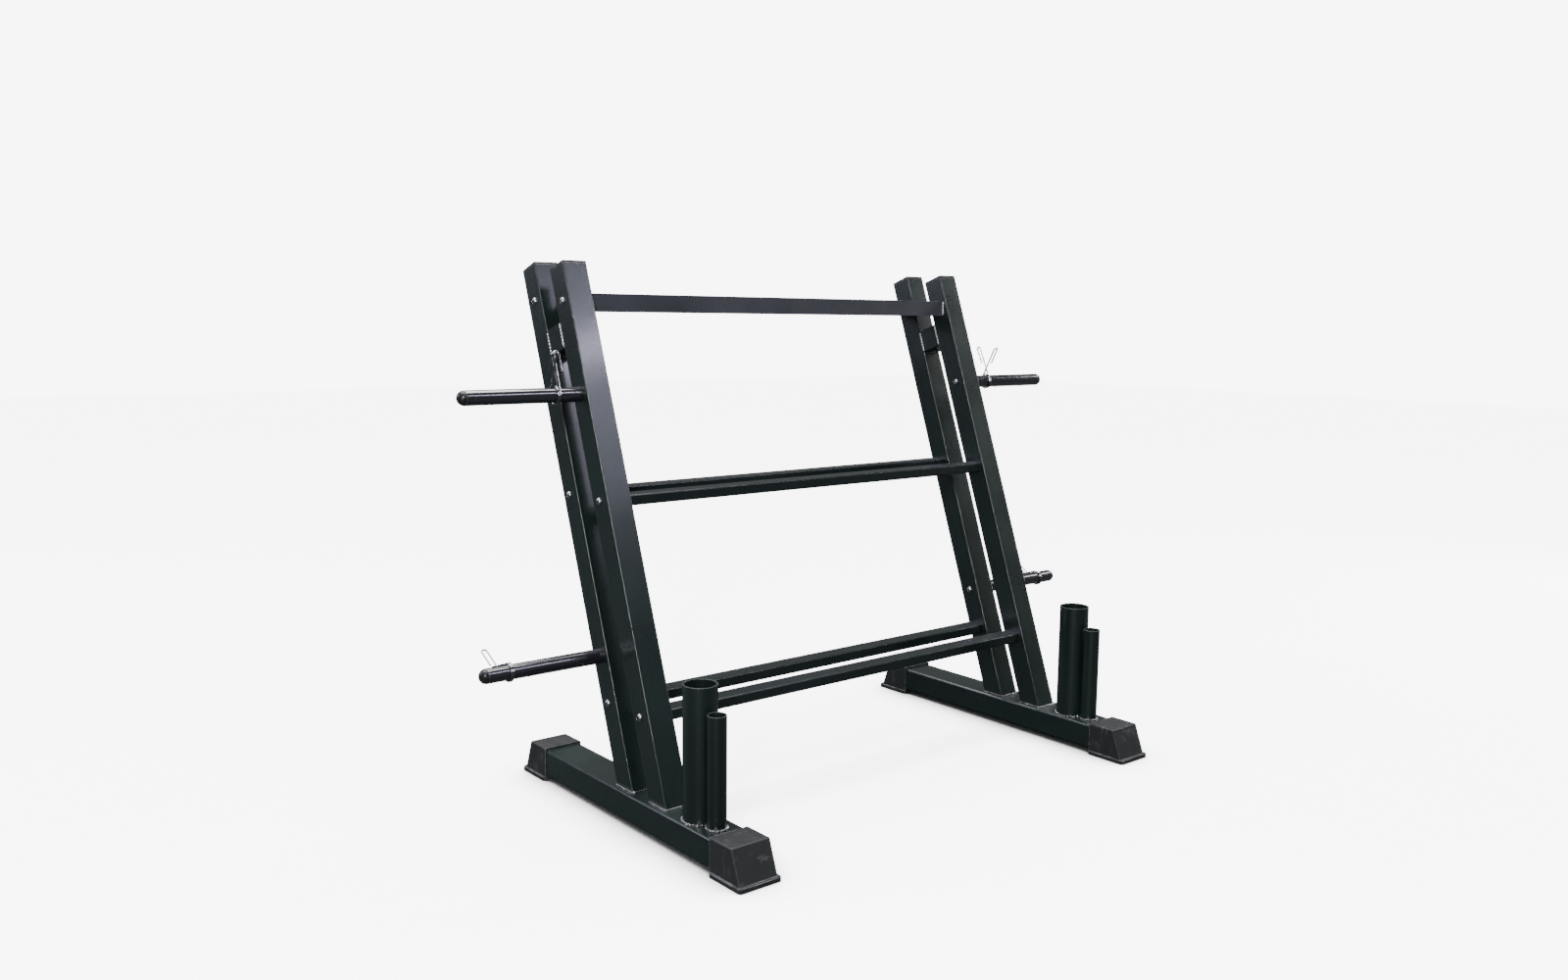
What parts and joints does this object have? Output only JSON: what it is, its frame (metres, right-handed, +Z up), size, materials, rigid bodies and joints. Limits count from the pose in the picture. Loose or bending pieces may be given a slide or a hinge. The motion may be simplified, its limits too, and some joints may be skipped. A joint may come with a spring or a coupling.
{
  "type": "dumbbell rack",
  "caption": "Black steel weight rack: leaning twin-post end frames, top tray, two tiers of paired dumbbell rails, side plate pegs with spring collars and upright bar holders.",
  "frame": {"origin": "on the floor at the centre of the footprint", "axes": "+X to the viewer's right along the rails, +Y from front to back, +Z up"},
  "size_m": [1.4998, 0.72, 1],
  "materials": {
    "frame_powder": "satin-gloss black powder coat",
    "rail_powder": "satin-gloss black powder coat",
    "tray_powder": "satin black powder coat",
    "peg_gloss": "glossy black",
    "foot_plastic": "satin moulded plastic",
    "cap_plastic": "satin moulded plastic",
    "zinc": "bright zinc",
    "inner_steel": "plain steel",
    "chrome_wire": "chrome"
  },
  "bodies": {
    "rack": {"bar_holder_large_left": "frame_powder", "bar_holder_large_right": "frame_powder", "bar_holder_small_left": "frame_powder", "bar_holder_small_right": "frame_powder", "base_tube_left": "frame_powder", "base_tube_right": "frame_powder", "foot_cap_front_left": "foot_plastic", "foot_cap_front_right": "foot_plastic", "foot_cap_rear_left": "foot_plastic", "foot_cap_rear_right": "foot_plastic", "peg_bolts": "zinc", "peg_cap_lower_left": "cap_plastic", "peg_cap_lower_right": "cap_plastic", "peg_cap_upper_left": "cap_plastic", "peg_cap_upper_right": "cap_plastic", "peg_root_plugs": "inner_steel", "plate_peg_lower_left": "peg_gloss", "plate_peg_lower_right": "peg_gloss", "plate_peg_upper_left": "peg_gloss", "plate_peg_upper_right": "peg_gloss", "post_front_left": "frame_powder", "post_front_right": "frame_powder", "post_plug_front_left": "cap_plastic", "post_plug_front_right": "cap_plastic", "post_plug_rear_left": "cap_plastic", "post_plug_rear_right": "cap_plastic", "post_rear_left": "frame_powder", "post_rear_right": "frame_powder", "post_spacer_left": "frame_powder", "post_spacer_right": "frame_powder", "rail_bolts": "zinc", "rail_end_blocks": "inner_steel", "rail_low_front": "rail_powder", "rail_low_rear": "rail_powder", "rail_mid_front": "rail_powder", "rail_mid_rear": "rail_powder", "shelf_bolts": "zinc", "shelf_nuts": "zinc", "shelf_tray": "tray_powder"},
    "spring_collar_lower_left_body": {"spring_collar_lower_left": "chrome_wire"},
    "spring_collar_lower_right_body": {"spring_collar_lower_right": "chrome_wire"},
    "spring_collar_upper_left_body": {"spring_collar_upper_left": "chrome_wire"},
    "spring_collar_upper_right_body": {"spring_collar_upper_right": "chrome_wire"}
  },
  "joints": [
    {"name": "spring_collar_lower_left_slide", "type": "slide", "parent": "rack", "child": "spring_collar_lower_left_body", "axis": [-1, 0, 0], "range_m": [-0.175, 0.037]},
    {"name": "spring_collar_lower_right_slide", "type": "slide", "parent": "rack", "child": "spring_collar_lower_right_body", "axis": [1, 0, 0], "range_m": [-0.175, 0.037]},
    {"name": "spring_collar_upper_left_slide", "type": "slide", "parent": "rack", "child": "spring_collar_upper_left_body", "axis": [-1, 0, 0], "range_m": [-0.032, 0.168]},
    {"name": "spring_collar_upper_right_slide", "type": "slide", "parent": "rack", "child": "spring_collar_upper_right_body", "axis": [1, 0, 0], "range_m": [-0.032, 0.168]}
  ]
}
